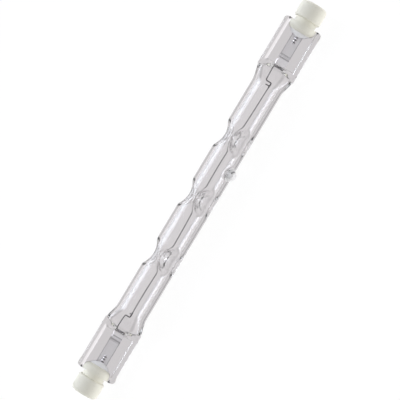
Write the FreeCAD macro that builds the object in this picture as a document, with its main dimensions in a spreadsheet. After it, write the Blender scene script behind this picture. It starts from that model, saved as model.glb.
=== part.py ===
import FreeCAD, Part
import os

import Sketcher

# A double-ended linear halogen bulb with recessed single contacts, lying as it comes to rest.
# The origin is on the axis of the tube, halfway between the two contacts, and X runs along the bulb.
# The pieces are made with the flat of the press seals level, which is their own XY plane.
# The right end is made, and the left end is its mirror image where both are alike.
# At the end all pieces are turned together about X until a rail touches the surface under the tube.

SIZES = {
    # The whole bulb: its contacts, and how far they lie inside its ends
    "contact_spacing": 114.2,
    "contact_depth": 1.7,
    # Fused quartz tube, which flattens through a neck into the seal at each end
    "tube_diameter": 8.62,
    "wall_thickness": 1.0,
    "neck_length": 6.3,
    "neck_in_seal": 2.2,
    "neck_end_width": 10.4,
    "neck_end_thickness": 2.5,
    "cavity_in_seal": 1.85,
    "cavity_end_width": 8.3,
    "cavity_end_thickness": 1.7,
    # Press seals: a flat web between two thicker rails
    "seal_length": 14.7,
    "seal_in_ceramic": 2.4,
    "seal_width": 10.77,
    "web_thickness": 2.9,
    "shoulder_length": 2.1,
    "rail_width": 1.3,
    "rail_thickness": 3.8,
    "rail_outer_round": 0.7,
    "rail_inner_round": 0.2,
    "rail_root_round": 0.2,
    "rail_start_round": 0.4,
    "rail_end_round": 0.8,
    "lobe_length": 1.9,
    "lobe_width": 1.7,
    "lobe_stands_out": 0.28,
    # Degrees less than the rail alone would let the bulb lean, as the lobe reaches the surface first
    "lobe_holds_off": 0.6,
    # Dimples that hold the filament in the middle: three around the tube at each of three stations
    "station_pitch": 17.9,
    "dimple_radius": 3.2,
    "dimple_wall": 1.1,
    "coil_clearance": 0.925,
    "dimple_lip_round": 1.1,
    "dimple_foot_round": 0.4,
    # Sealed-off stub of the exhaust tube
    "tip_place": 9.54,
    "tip_turn": 54.0,
    "tip_root_radius": 1.75,
    "tip_end_radius": 1.2,
    "tip_height": 1.6,
    "tip_end_round": 0.7,
    "tip_root_round": 0.5,
    "tip_channel_radius": 0.4,
    "tip_channel_length": 1.3,
    # Ceramic bases: a barrel, a groove and a slotted collar that grips the web of the seal
    "ceramic_length": 8.4,
    "barrel_length": 4.75,
    "groove_length": 1.35,
    "barrel_diameter": 7.37,
    "collar_diameter": 8.1,
    "groove_diameter": 6.1,
    "collar_round": 1.6,
    "barrel_end_round": 1.2,
    "barrel_groove_round": 0.5,
    "slot_clearance": 0.15,
    "slot_end_clearance": 0.2,
    "recess_diameter": 3.8,
    "recess_chamfer": 0.15,
    "contact_clearance": 0.1,
    # Cement, with a bead that slopes from the ceramic down to the web
    "bead_length": 1.25,
    "bead_width": 6.9,
    "bead_crown": 2.6,
    # Contact buttons
    "button_diameter": 3.1,
    "button_height": 0.9,
    "button_round": 0.22,
    "button_cover": 0.4,
    "shank_diameter": 1.7,
    "shank_length": 1.6,
    # Molybdenum outer leads and foils, measured from the outer end of the seal
    "foil_inset": 3.2,
    "foil_length": 9.2,
    "foil_width": 3.0,
    "foil_thickness": 0.04,
    "crease_inset": 1.9,
    "crease_length": 0.8,
    "weld_flat": 0.03,
    "outer_lead_diameter": 0.8,
    "outer_lead_on_foil": 2.4,
    # Inner leads, which step down to the axis and hook into the ends of the filament
    "inner_lead_diameter": 0.28,
    "inner_lead_on_foil": 1.5,
    "inner_lead_offset": 1.3,
    "inner_lead_straight": 2.9,
    "inner_lead_slope": 3.5,
    "inner_lead_bow": 0.2,
    "hook_reach": 0.9,
    "hook_rise_right": 1.2,
    "hook_rise_left": 0.55,
    "lead_bend_radius": 0.26,
    # Coiled tungsten filament, given by the outside of its coil
    "coil_diameter": 0.45,
    "coil_overlap": 0.15,
    "coil_sag_right": 0.5,
    "coil_sag_left": 0.25,
    "sag_past_station": 6.1,
    "coil_bend_radius": 6.0,
}

STATIONS = (-1, 0, 1)
DIMPLES_AROUND = 3
# Places along a neck, as parts of its length, where its section is given
NECK_STEPS = (0.0, 0.2, 0.4, 0.6, 0.8, 1.0)
# The neck has its full width from this part of its length on, and flattens over the whole of it
NECK_SHOULDER = 0.8
# The cavity is widest at this part of its neck, and then closes in a rounded end
CAVITY_SHOULDER = 0.78
CAVITY_STEPS = (0.0, 0.3, 0.55, 0.78, 0.9, 0.97)
# How far a cutting shape stands clear of what it cuts, and how close a picked edge has to be
SPARE = 1.0
NEAR = 0.01

doc = FreeCAD.newDocument("linear_halogen_bulb")
sheet = doc.addObject("Spreadsheet::Sheet", "Sizes")
for row, (alias, value) in enumerate(SIZES.items(), start=1):
    sheet.set(f"A{row}", alias)
    sheet.set(f"B{row}", str(value))
    sheet.setAlias(f"B{row}", alias)
doc.recompute()

X_AXIS = FreeCAD.Vector(1, 0, 0)
Y_AXIS = FreeCAD.Vector(0, 1, 0)
Z_AXIS = FreeCAD.Vector(0, 0, 1)
ORIGIN = FreeCAD.Vector(0, 0, 0)
# Turns that lay an upright rod along X, and an ellipse's long axis along Y and its normal along X
ALONG_X = FreeCAD.Rotation(Y_AXIS, 90)
ACROSS_X = FreeCAD.Rotation(Y_AXIS, Z_AXIS, X_AXIS, "XYZ")


def size(expression):
    """The present value of an expression in the sheet's aliases."""
    return float(sheet.evalExpression(expression))


def bind(piece, bound):
    """Ties properties of a piece to expressions in the sheet's aliases."""
    for name, expression in bound.items():
        piece.setExpression(name, expression)
    return piece


def put_at(piece, place):
    """Ties a piece's position to three expressions."""
    return bind(piece, {f"Placement.Base.{axis}": part for axis, part in zip("xyz", place)})


def rod(name, radius, start, length):
    """A round bar along X."""
    bar = doc.addObject("Part::Cylinder", name)
    bar.Placement.Rotation = ALONG_X
    return bind(bar, {"Radius": radius, "Height": length, "Placement.Base.x": start})


def block(name, low, length, width, height):
    """A box, given by its lowest corner."""
    box = doc.addObject("Part::Box", name)
    bind(box, {"Length": length, "Width": width, "Height": height})
    return put_at(box, low)


def ball(name, radius, place, turn):
    """A sphere about a point."""
    sphere = doc.addObject("Part::Sphere", name)
    sphere.Placement.Rotation = turn
    bind(sphere, {"Radius": radius})
    return put_at(sphere, place)


def ovoid(name, half_length, half_width, half_height, place):
    """An ellipsoid, given by its half sizes along X, Y and Z."""
    solid = doc.addObject("Part::Ellipsoid", name)
    bind(solid, {"Radius1": half_height, "Radius2": half_length, "Radius3": half_width})
    return put_at(solid, place)


def fuse(name, pieces):
    joined = doc.addObject("Part::MultiFuse", name)
    joined.Shapes = pieces
    return joined


def cut(name, base, tool):
    left = doc.addObject("Part::Cut", name)
    left.Base = base
    left.Tool = tool
    return left


def common(name, pieces):
    shared = doc.addObject("Part::MultiCommon", name)
    shared.Shapes = pieces
    return shared


def mirrored(name, source):
    """The same piece at the left end of the bulb."""
    copy = doc.addObject("Part::Mirroring", name)
    copy.Source = source
    copy.Normal = X_AXIS
    return copy


def edges_between(shape, first, second):
    """The numbers of the edges that part a face of one kind of surface from a face of another."""
    wanted = sorted([f"Part::Geom{first}", f"Part::Geom{second}"])
    found = []
    for number, edge in enumerate(shape.Edges, start=1):
        faces = shape.ancestorsOfType(edge, Part.Face)
        if sorted(face.Surface.TypeId for face in faces) == wanted:
            found.append(number)
    return found


def rounded(name, base, kinds, radius, beyond="0"):
    """Rounds the edges where two kinds of surface meet, if they lie further from the axis than a size."""
    doc.recompute()
    chosen = []
    for number in edges_between(base.Shape, *kinds):
        middle = base.Shape.Edges[number - 1].CenterOfMass
        if (middle.y ** 2 + middle.z ** 2) ** 0.5 > size(beyond):
            chosen.append((number, size(radius), size(radius)))
    fillet = doc.addObject("Part::Fillet", name)
    fillet.Base = base
    fillet.Edges = chosen
    return fillet


def loft_of_ellipses(name, rings):
    """A solid along X through ellipses, each given by its place, half width and half height."""
    sections = []
    for number, (place, half_width, half_height) in enumerate(rings):
        ring = doc.addObject("Part::Ellipse", f"{name}_ring_{number}")
        ring.Placement.Rotation = ACROSS_X
        bind(ring, {"MajorRadius": half_width, "MinorRadius": half_height, "Placement.Base.x": place})
        sections.append(ring)
    loft = doc.addObject("Part::Loft", name)
    loft.Sections = sections
    loft.Solid = True
    return loft


def eased(step):
    """A smooth passage from 0 to 1 that starts and ends level."""
    return step * step * (3 - 2 * step)


def part_way(start, end, share):
    """An expression for the place a share of the way from one expression to another."""
    return f"{start} + ({end} - ({start})) * {share:.4f}"


def new_body(name):
    return doc.addObject("PartDesign::Body", name)


def new_sketch(body, name, role, lift="0"):
    """A sketch on one of the body's own origin planes, lifted off it by an expression."""
    sketch = body.newObject("Sketcher::SketchObject", name)
    plane = next(item for item in body.Origin.OriginFeatures if item.Role == role)
    sketch.AttachmentSupport = [(plane, "")]
    sketch.MapMode = "FlatFace"
    sketch.setExpression("AttachmentOffset.Base.z", lift)
    return sketch


def pin_down(sketch, line, end, place):
    """Ties one end of a sketch's line to two expressions."""
    for kind, expression in zip(("DistanceX", "DistanceY"), place):
        rule = Sketcher.Constraint(kind, -1, 1, line, end, size(expression))
        index = sketch.addConstraint(rule)
        sketch.setExpression(f"Constraints[{index}]", expression)


def add_lines(sketch, places):
    """Straight lines from place to place, joined end to end."""
    spots = [FreeCAD.Vector(size(across), size(up), 0) for across, up in places]
    for line, (start, end) in enumerate(zip(spots, spots[1:])):
        sketch.addGeometry(Part.LineSegment(start, end), False)
        if line > 0:
            sketch.addConstraint(Sketcher.Constraint("Coincident", line - 1, 2, line, 1))
        pin_down(sketch, line, 1, places[line])


def closed_outline(sketch, places, rounds=()):
    """A closed outline with a corner at each place, and a radius for each corner if they are given."""
    add_lines(sketch, places + places[:1])
    sketch.addConstraint(Sketcher.Constraint("Coincident", len(places) - 1, 2, 0, 1))
    doc.recompute()
    for corner, radius in enumerate(rounds):
        round_corner(sketch, (corner - 1) % len(places), radius)


def round_corner(sketch, line, radius):
    """Rounds the corner at the end of a line with an arc that keeps to an expression."""
    sketch.fillet(line, 2, size(radius), True, True)
    arc = len(sketch.Geometry) - 2
    rule = sketch.addConstraint(Sketcher.Constraint("Radius", arc, size(radius)))
    sketch.setExpression(f"Constraints[{rule}]", radius)


def rounded_path(sketch, places, radius):
    """An open path through places, with each turn rounded to a radius."""
    add_lines(sketch, places)
    last = len(places) - 2
    pin_down(sketch, last, 2, places[-1])
    doc.recompute()
    for line in range(last):
        round_corner(sketch, line, radius)


def turned(body, name, sketch):
    """Turns a body's outline about X."""
    turn = body.newObject("PartDesign::Revolution", name)
    turn.Profile = sketch
    turn.ReferenceAxis = (sketch, ["H_Axis"])
    turn.Angle = 360
    return turn


def padded(body, name, sketch, length, both_ways=False):
    pad = body.newObject("PartDesign::Pad", name)
    pad.Profile = sketch
    pad.SideType = "Symmetric" if both_ways else "One side"
    pad.setExpression("Length", length)
    return pad


def pocketed(body, name, sketch, length):
    """Cuts an outline through the body, as far to each side of its sketch."""
    pocket = body.newObject("PartDesign::Pocket", name)
    pocket.Profile = sketch
    pocket.SideType = "Symmetric"
    pocket.setExpression("Length", length)
    return pocket


def softened(body, name, base, is_wanted, radius, feature="PartDesign::Fillet", value="Radius"):
    """Rounds, or chamfers, the edges of a feature that a test of their middle and direction picks."""
    doc.recompute()
    chosen = []
    for number, edge in enumerate(base.Shape.Edges, start=1):
        middle = edge.valueAt((edge.FirstParameter + edge.LastParameter) / 2)
        if is_wanted(edge, middle):
            chosen.append(f"Edge{number}")
    change = body.newObject(feature, name)
    change.Base = (base, chosen)
    change.setExpression(value, radius)
    return change


def wire_body(name, places, radius, diameter):
    """A round wire in the XY plane along a path whose first run is along X."""
    body = new_body(name)
    path = new_sketch(body, f"{name}_path", "XY_Plane")
    rounded_path(path, places, radius)
    section = new_sketch(body, f"{name}_section", "YZ_Plane", places[0][0])
    centre = FreeCAD.Vector(size(places[0][1]), 0, 0)
    section.addGeometry(Part.Circle(centre, Z_AXIS, size(diameter) / 2), False)
    rule = section.addConstraint(Sketcher.Constraint("DistanceX", -1, 1, 0, 3, centre.x))
    section.setExpression(f"Constraints[{rule}]", places[0][1])
    section.addConstraint(Sketcher.Constraint("PointOnObject", 0, 3, -1))
    rule = section.addConstraint(Sketcher.Constraint("Diameter", 0, size(diameter)))
    section.setExpression(f"Constraints[{rule}]", diameter)
    pipe = body.newObject("PartDesign::AdditivePipe", f"{name}_wire")
    pipe.Profile = section
    pipe.Spine = (path, [])
    return body


TUBE_RADIUS = "Sizes.tube_diameter / 2"
BORE_RADIUS = "(Sizes.tube_diameter / 2 - Sizes.wall_thickness)"
# Places along the right half, each a length further in or out than one before it
CONTACT_FACE = "(Sizes.contact_spacing / 2)"
HALF_LENGTH = f"({CONTACT_FACE} + Sizes.contact_depth)"
GROOVE_END = f"({HALF_LENGTH} - Sizes.barrel_length)"
COLLAR_END = f"({GROOVE_END} - Sizes.groove_length)"
CERAMIC_START = f"({HALF_LENGTH} - Sizes.ceramic_length)"
BEAD_START = f"({CERAMIC_START} - Sizes.bead_length)"
BUTTON_SEAT = f"({CONTACT_FACE} - Sizes.button_height)"
SEAL_END = f"({CERAMIC_START} + Sizes.seal_in_ceramic)"
SEAL_START = f"({SEAL_END} - Sizes.seal_length)"
SLOT_FLOOR = f"({SEAL_END} + Sizes.slot_end_clearance)"
SLOT_HEIGHT = "(Sizes.web_thickness + 2 * Sizes.slot_clearance)"
CAVITY_END = f"({SEAL_START} + Sizes.cavity_in_seal)"
NECK_END = f"({SEAL_START} + Sizes.neck_in_seal)"
NECK_START = f"({NECK_END} - Sizes.neck_length)"
FOIL_END = f"({SEAL_END} - Sizes.foil_inset)"
FOIL_START = f"({FOIL_END} - Sizes.foil_length)"
CREASE_START = f"({FOIL_START} + Sizes.crease_inset)"
CREASE_END = f"({CREASE_START} + Sizes.crease_length)"
OUTER_LEAD_START = f"({FOIL_END} - Sizes.outer_lead_on_foil)"
OUTER_LEAD_END = f"({CONTACT_FACE} - Sizes.button_cover)"
INNER_LEAD_END = f"({FOIL_START} + Sizes.inner_lead_on_foil)"
INNER_LEAD_BEND = f"({INNER_LEAD_END} - Sizes.inner_lead_straight)"
LEAD_STEP = f"({INNER_LEAD_BEND} - Sizes.inner_lead_slope)"
HOOK_PLACE = f"({LEAD_STEP} - Sizes.hook_reach)"
COIL_END = f"({LEAD_STEP} - Sizes.inner_lead_diameter / 2 - Sizes.coil_overlap)"
SAG_PLACE = "(Sizes.station_pitch + Sizes.sag_past_station)"
# The bulb leans until the round edge of a rail is as low as the tube
RAIL_EDGE_OUT = "(Sizes.seal_width / 2 - Sizes.rail_outer_round)"
RAIL_EDGE_UP = "(Sizes.rail_thickness / 2 - Sizes.rail_outer_round)"
RAIL_EDGE_REACH = f"sqrt({RAIL_EDGE_OUT} ^ 2 + {RAIL_EDGE_UP} ^ 2)"
LEAN = (
    f"asin(({TUBE_RADIUS} - Sizes.rail_outer_round) / {RAIL_EDGE_REACH})"
    f" - atan({RAIL_EDGE_UP} / {RAIL_EDGE_OUT}) - Sizes.lobe_holds_off * 1 deg"
)
# How far from the axis a dimple's ball is centred, so that its foot stops short of the coil
DIMPLE_REACH = "(Sizes.coil_diameter / 2 + Sizes.coil_clearance + Sizes.dimple_wall + Sizes.dimple_radius)"


# Leads and foils

def inner_lead(name, side, rise, sag):
    """From its weld on the foil, along the cavity, down to the coil, through it and up as a hook."""
    bent_offset = "(Sizes.inner_lead_offset - Sizes.inner_lead_bow)"
    places = [
        (f"{side} * {INNER_LEAD_END}", "Sizes.inner_lead_offset"),
        (f"{side} * {INNER_LEAD_BEND}", "Sizes.inner_lead_offset"),
        (f"{side} * {LEAD_STEP}", bent_offset),
        (f"{side} * {LEAD_STEP}", f"-{sag}"),
        (f"{side} * {HOOK_PLACE}", f"-{sag}"),
        (f"{side} * {HOOK_PLACE}", f"{rise} - {sag}"),
    ]
    wire = wire_body(f"{name}_wire_body", places, "Sizes.lead_bend_radius", "Sizes.inner_lead_diameter")
    half = "Sizes.inner_lead_diameter / 2"
    start = INNER_LEAD_BEND if side > 0 else f"-{INNER_LEAD_END}"
    low = (start, f"Sizes.inner_lead_offset - {half}", f"-{half}")
    length = "Sizes.inner_lead_straight"
    flat = block(f"{name}_flat", low, length, "Sizes.inner_lead_diameter", "Sizes.weld_flat")
    return cut(name, wire, flat)


def seal_foil(name):
    """A thin strip that lies under both leads, with a crease between their two levels."""
    under_inner = "(Sizes.weld_flat - Sizes.inner_lead_diameter / 2)"
    under_outer = "(Sizes.weld_flat - Sizes.outer_lead_diameter / 2)"
    body = new_body(name)
    outline = new_sketch(body, f"{name}_outline", "XZ_Plane")
    top = [
        (FOIL_START, under_inner),
        (CREASE_START, under_inner),
        (CREASE_END, under_outer),
        (FOIL_END, under_outer),
    ]
    bottom = [(across, f"{up} - Sizes.foil_thickness") for across, up in reversed(top)]
    closed_outline(outline, top + bottom)
    padded(body, f"{name}_strip", outline, "Sizes.foil_width", both_ways=True)
    return body


def outer_lead(name):
    """A straight wire from the foil to the contact, with a flat where it is welded to the foil."""
    half = "Sizes.outer_lead_diameter / 2"
    wire = rod(f"{name}_wire", half, OUTER_LEAD_START, f"{OUTER_LEAD_END} - {OUTER_LEAD_START}")
    low = (OUTER_LEAD_START, f"-{half}", f"-{half}")
    length = "Sizes.outer_lead_on_foil"
    flat = block(f"{name}_flat", low, length, "Sizes.outer_lead_diameter", "Sizes.weld_flat")
    return cut(name, wire, flat)


inner_lead_right = inner_lead("inner_lead_right", 1, "Sizes.hook_rise_right", "Sizes.coil_sag_right")
inner_lead_left = inner_lead("inner_lead_left", -1, "Sizes.hook_rise_left", "Sizes.coil_sag_left")
seal_foil_right = seal_foil("seal_foil_right")
seal_foil_left = mirrored("seal_foil_left", seal_foil_right)
outer_lead_right = outer_lead("outer_lead_right")
outer_lead_left = mirrored("outer_lead_left", outer_lead_right)


# Filament

def filament(name):
    """The outside of the coil, which sags at its ends and is level between the outer stations."""
    places = [
        (f"-{COIL_END}", "-Sizes.coil_sag_left"),
        (f"-{SAG_PLACE}", "-Sizes.coil_sag_left"),
        ("-Sizes.station_pitch / 2", "0"),
        ("Sizes.station_pitch / 2", "0"),
        (SAG_PLACE, "-Sizes.coil_sag_right"),
        (COIL_END, "-Sizes.coil_sag_right"),
    ]
    return wire_body(name, places, "Sizes.coil_bend_radius", "Sizes.coil_diameter")


coil = filament("filament_coil")
filament_piece = cut("filament_right_bored", coil, inner_lead_right)
filament_piece = cut("filament", filament_piece, inner_lead_left)


# Quartz envelope

def around(turn):
    """A turn that points a ball's own X outwards from the tube's axis and its poles along the tube."""
    outwards = FreeCAD.Rotation(X_AXIS, turn).multVec(Y_AXIS)
    return FreeCAD.Rotation(outwards, X_AXIS.cross(outwards), X_AXIS, "XYZ")


def dimple_balls(name, radius):
    """Balls on the centres of all dimples."""
    balls = []
    for station in STATIONS:
        for number in range(DIMPLES_AROUND):
            turn = 360 * number / DIMPLES_AROUND
            place = (
                f"{station} * Sizes.station_pitch",
                f"{DIMPLE_REACH} * cos({turn})",
                f"{DIMPLE_REACH} * sin({turn})",
            )
            balls.append(ball(f"{name}_{len(balls)}", radius, place, around(turn)))
    return fuse(name, balls)


def press_seal(name):
    """The web with a rail along each edge, carried along the bulb from a shoulder as thick as the rails."""
    half_width = "Sizes.seal_width / 2"
    inner = "(Sizes.seal_width / 2 - Sizes.rail_width)"
    web = "Sizes.web_thickness / 2"
    rail = "Sizes.rail_thickness / 2"
    quarter = [(inner, web), (inner, rail), (half_width, rail)]
    quarter_rounds = ["Sizes.rail_root_round", "Sizes.rail_inner_round", "Sizes.rail_outer_round"]
    corners = [(across, up) for across, up in quarter]
    corners += [(across, f"-{up}") for across, up in reversed(quarter)]
    corners += [(f"-{across}", f"-{up}") for across, up in quarter]
    corners += [(f"-{across}", up) for across, up in reversed(quarter)]
    rounds = (quarter_rounds + quarter_rounds[::-1]) * 2
    body = new_body(f"{name}_bar")
    outline = new_sketch(body, f"{name}_outline", "YZ_Plane", SEAL_START)
    closed_outline(outline, corners, rounds)
    padded(body, f"{name}_pad", outline, "Sizes.seal_length")
    rail_middle = "(Sizes.seal_width / 2 - Sizes.rail_width / 2)"
    low = (SEAL_START, f"-{rail_middle}", f"-{rail}")
    shoulder = block(f"{name}_shoulder", low, "Sizes.shoulder_length", f"2 * {rail_middle}", f"2 * {rail}")
    shouldered = fuse(f"{name}_shouldered", [body, shoulder])
    taken_off = []
    for side in (-1, 1):
        for end, place, inwards in (("start", SEAL_START, 1), ("end", SEAL_END, -1)):
            radius = f"Sizes.rail_{end}_round"
            taken_off.append(rail_corner(f"{name}_{end}_corner", side, place, inwards, radius))
    return cut(name, shouldered, fuse(f"{name}_corners", taken_off))


def rail_corner(name, side, place, inwards, radius):
    """What is taken off a rail's corner to round it, seen from above: a square less a round pin."""
    label = f"{name}_{'left' if side > 0 else 'right'}"
    centre_x = f"{place} + {inwards} * {radius}"
    centre_y = f"{side} * (Sizes.seal_width / 2 - {radius})"
    low = (
        place if inwards > 0 else centre_x,
        centre_y if side > 0 else "-Sizes.seal_width / 2",
        "-Sizes.rail_thickness / 2",
    )
    square = block(f"{label}_square", low, radius, radius, "Sizes.rail_thickness")
    pin = doc.addObject("Part::Cylinder", f"{label}_pin")
    bind(pin, {"Radius": radius, "Height": "Sizes.rail_thickness"})
    return cut(label, square, put_at(pin, (centre_x, centre_y, "-Sizes.rail_thickness / 2")))


def neck(name):
    """From the round tube to a flat oval inside the seal."""
    rings = []
    for step in NECK_STEPS:
        place = part_way(NECK_START, NECK_END, step)
        spread = eased(min(step / NECK_SHOULDER, 1))
        across = part_way(TUBE_RADIUS, "Sizes.neck_end_width / 2", spread)
        up = part_way(TUBE_RADIUS, "Sizes.neck_end_thickness / 2", eased(step))
        rings.append((place, across, up))
    return loft_of_ellipses(name, rings)


def cavity_end(name):
    """The bore widens and flattens as the tube is pinched, and closes in a rounded end."""
    rings = []
    for step in CAVITY_STEPS:
        spread = eased(min(step / CAVITY_SHOULDER, 1))
        past = max(step - CAVITY_SHOULDER, 0) / (1 - CAVITY_SHOULDER)
        closing = (1 - past * past) ** 0.5
        place = part_way(NECK_START, CAVITY_END, step)
        across = f"({part_way(BORE_RADIUS, 'Sizes.cavity_end_width / 2', spread)}) * {closing:.4f}"
        up = f"({part_way(BORE_RADIUS, 'Sizes.cavity_end_thickness / 2', spread)}) * {closing:.4f}"
        rings.append((place, across, up))
    return loft_of_ellipses(name, rings)


def tip_cone(name, base_radius, end_radius, start, length):
    """A cone that points out of the tube where it was pumped out."""
    cone = doc.addObject("Part::Cone", name)
    cone.Placement.Rotation = FreeCAD.Rotation(X_AXIS, 1)
    bind(cone, {"Radius1": base_radius, "Radius2": end_radius, "Height": length})
    cone.setExpression("Placement.Rotation.Angle", "Sizes.tip_turn")
    aside = f"-sin(Sizes.tip_turn) * ({start})"
    return put_at(cone, ("Sizes.tip_place", aside, f"cos(Sizes.tip_turn) * ({start})"))


plain_tube = rod("plain_tube", TUBE_RADIUS, f"-{NECK_START}", f"2 * {NECK_START}")
tip_stub = tip_cone(
    "tip_stub",
    "Sizes.tip_root_radius",
    "Sizes.tip_end_radius",
    f"{TUBE_RADIUS} - Sizes.wall_thickness / 2",
    "Sizes.tip_height + Sizes.wall_thickness / 2",
)
tip_stub = rounded("tip_stub_round", tip_stub, ("Cone", "Plane"), "Sizes.tip_end_round", TUBE_RADIUS)
dimpled_tube = cut("dimpled_tube", plain_tube, dimple_balls("dimples", "Sizes.dimple_radius"))
dimpled_tube = rounded("lipped_tube", dimpled_tube, ("Sphere", "Cylinder"), "Sizes.dimple_lip_round")
tipped_tube = fuse("tipped_tube", [dimpled_tube, tip_stub])
tipped_tube = rounded("tube_with_tip", tipped_tube, ("Cone", "Cylinder"), "Sizes.tip_root_round")

neck_right = neck("neck_right")
seal_right = press_seal("press_seal_right")
seal_left = mirrored("press_seal_left", seal_right)
end_lobe = ovoid(
    "end_lobe",
    "Sizes.lobe_length / 2",
    "Sizes.lobe_width / 2",
    "Sizes.rail_thickness / 2",
    (
        f"-({SEAL_END} - Sizes.lobe_length / 2)",
        "-(Sizes.seal_width / 2 + Sizes.lobe_stands_out - Sizes.lobe_width / 2)",
        "0",
    ),
)
seal_left_with_lobe = fuse("press_seal_left_with_lobe", [seal_left, end_lobe])
glass_outside = fuse(
    "glass_outside",
    [tipped_tube, neck_right, mirrored("neck_left", neck_right), seal_right, seal_left_with_lobe],
)

bore = rod("bore", BORE_RADIUS, f"-{NECK_START}", f"2 * {NECK_START}")
dimpled_bore = cut("dimpled_bore", bore, dimple_balls("bumps", "Sizes.dimple_radius + Sizes.dimple_wall"))
dimpled_bore = rounded("footed_bore", dimpled_bore, ("Sphere", "Cylinder"), "Sizes.dimple_foot_round")
tip_channel = tip_cone(
    "tip_channel",
    "Sizes.tip_channel_radius",
    "Sizes.tip_channel_radius / 2",
    f"{BORE_RADIUS} - Sizes.wall_thickness / 2",
    "Sizes.tip_channel_length + Sizes.wall_thickness / 2",
)
cavity_right = cavity_end("cavity_right")
cavity = fuse("cavity", [dimpled_bore, cavity_right, mirrored("cavity_left", cavity_right), tip_channel])

quartz_envelope = cut("hollow_glass", glass_outside, cavity)
for number, metal in enumerate([
    seal_foil_right, seal_foil_left, outer_lead_right, outer_lead_left, inner_lead_right, inner_lead_left,
]):
    quartz_envelope = cut(f"glass_round_metal_{number}", quartz_envelope, metal)


# Ceramic bases

def ceramic_base(name):
    """Turned, slotted for the seal, and hollowed for the holder's pin, the button and its shank."""
    collar = "Sizes.collar_diameter / 2"
    groove = "Sizes.groove_diameter / 2"
    barrel = "Sizes.barrel_diameter / 2"
    recess = "Sizes.recess_diameter / 2"
    button = "(Sizes.button_diameter / 2 + Sizes.contact_clearance)"
    shank = "(Sizes.shank_diameter / 2 + Sizes.contact_clearance)"
    body = new_body(name)
    outline = new_sketch(body, f"{name}_outline", "XY_Plane")
    closed_outline(outline, [
        (CERAMIC_START, shank),
        (CERAMIC_START, collar),
        (COLLAR_END, collar),
        (COLLAR_END, groove),
        (GROOVE_END, groove),
        (GROOVE_END, barrel),
        (HALF_LENGTH, barrel),
        (HALF_LENGTH, recess),
        (CONTACT_FACE, recess),
        (CONTACT_FACE, button),
        (BUTTON_SEAT, button),
        (BUTTON_SEAT, shank),
    ])
    turning = turned(body, f"{name}_turning", outline)

    def is_ring(place, radius):
        def test(edge, middle):
            away = (middle.y ** 2 + middle.z ** 2) ** 0.5
            return abs(middle.x - size(place)) < NEAR and abs(away - size(radius)) < NEAR
        return test

    nose = is_ring(CERAMIC_START, collar)
    solid = softened(body, f"{name}_dome", turning, nose, "Sizes.collar_round")
    for end, place in (("end", HALF_LENGTH), ("groove", GROOVE_END)):
        round_size = f"Sizes.barrel_{end}_round"
        solid = softened(body, f"{name}_{end}", solid, is_ring(place, barrel), round_size)
    mouth = is_ring(HALF_LENGTH, recess)
    chamfer = ("Sizes.recess_chamfer", "PartDesign::Chamfer", "Size")
    softened(body, f"{name}_mouth", solid, mouth, *chamfer)
    slot = new_sketch(body, f"{name}_slot_outline", "XZ_Plane")
    before = f"({CERAMIC_START} - {SPARE})"
    closed_outline(slot, [
        (before, f"-{SLOT_HEIGHT} / 2"),
        (SLOT_FLOOR, f"-{SLOT_HEIGHT} / 2"),
        (SLOT_FLOOR, f"{SLOT_HEIGHT} / 2"),
        (before, f"{SLOT_HEIGHT} / 2"),
    ])
    pocketed(body, f"{name}_slot", slot, f"Sizes.collar_diameter + 2 * {SPARE}")
    return body


def contact(name):
    """A domed-edge button on a shank, bored for the lead that is welded into it."""
    button = "Sizes.button_diameter / 2"
    shank = "Sizes.shank_diameter / 2"
    lead = "Sizes.outer_lead_diameter / 2"
    shank_end = f"({BUTTON_SEAT} - Sizes.shank_length)"
    body = new_body(name)
    outline = new_sketch(body, f"{name}_outline", "XY_Plane")
    closed_outline(outline, [
        (shank_end, lead),
        (shank_end, shank),
        (BUTTON_SEAT, shank),
        (BUTTON_SEAT, button),
        (CONTACT_FACE, button),
        (CONTACT_FACE, "0"),
        (OUTER_LEAD_END, "0"),
        (OUTER_LEAD_END, lead),
    ])
    turning = turned(body, f"{name}_turning", outline)

    def is_rim(edge, middle):
        away = (middle.y ** 2 + middle.z ** 2) ** 0.5
        return abs(middle.x - size(CONTACT_FACE)) < NEAR and abs(away - size(button)) < NEAR

    softened(body, f"{name}_rim", turning, is_rim, "Sizes.button_round")
    return body


ceramic_base_right = ceramic_base("ceramic_base_right")
ceramic_base_left = mirrored("ceramic_base_left", ceramic_base_right)
contact_right = contact("contact_right")
contact_left = mirrored("contact_left", contact_right)


# Cement

def cement(name):
    """Fills the slot between the ceramic and the seal, and ends in a bead that slopes to the web."""
    # The web's plane cuts the bead's oval above its widest section, so the outline there is drawn in.
    drawn_in = "sqrt(1 - (Sizes.web_thickness / 2 / Sizes.bead_crown) ^ 2)"
    oval = ovoid(
        f"{name}_oval",
        f"({SEAL_END} - {BEAD_START}) / {drawn_in}",
        f"Sizes.bead_width / 2 / {drawn_in}",
        "Sizes.bead_crown",
        (SEAL_END, "0", "0"),
    )
    front = f"({BEAD_START} - {SPARE})"
    back = f"({CERAMIC_START} + Sizes.collar_round / 2)"
    reach = f"(Sizes.collar_diameter + 2 * {SPARE})"
    low = (front, f"-{reach} / 2", f"-{reach} / 2")
    keep = block(f"{name}_reach", low, f"{back} - {front}", reach, reach)
    bead = common(f"{name}_bead", [oval, keep])
    slot_length = f"{SLOT_FLOOR} - {CERAMIC_START}"
    blank = rod(f"{name}_blank", "Sizes.groove_diameter / 2", CERAMIC_START, slot_length)
    low = (CERAMIC_START, "-Sizes.groove_diameter / 2", f"-{SLOT_HEIGHT} / 2")
    layer = block(f"{name}_layer", low, slot_length, "Sizes.groove_diameter", SLOT_HEIGHT)
    filling = common(f"{name}_filling", [blank, layer])
    return fuse(f"{name}_whole", [bead, filling])


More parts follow.
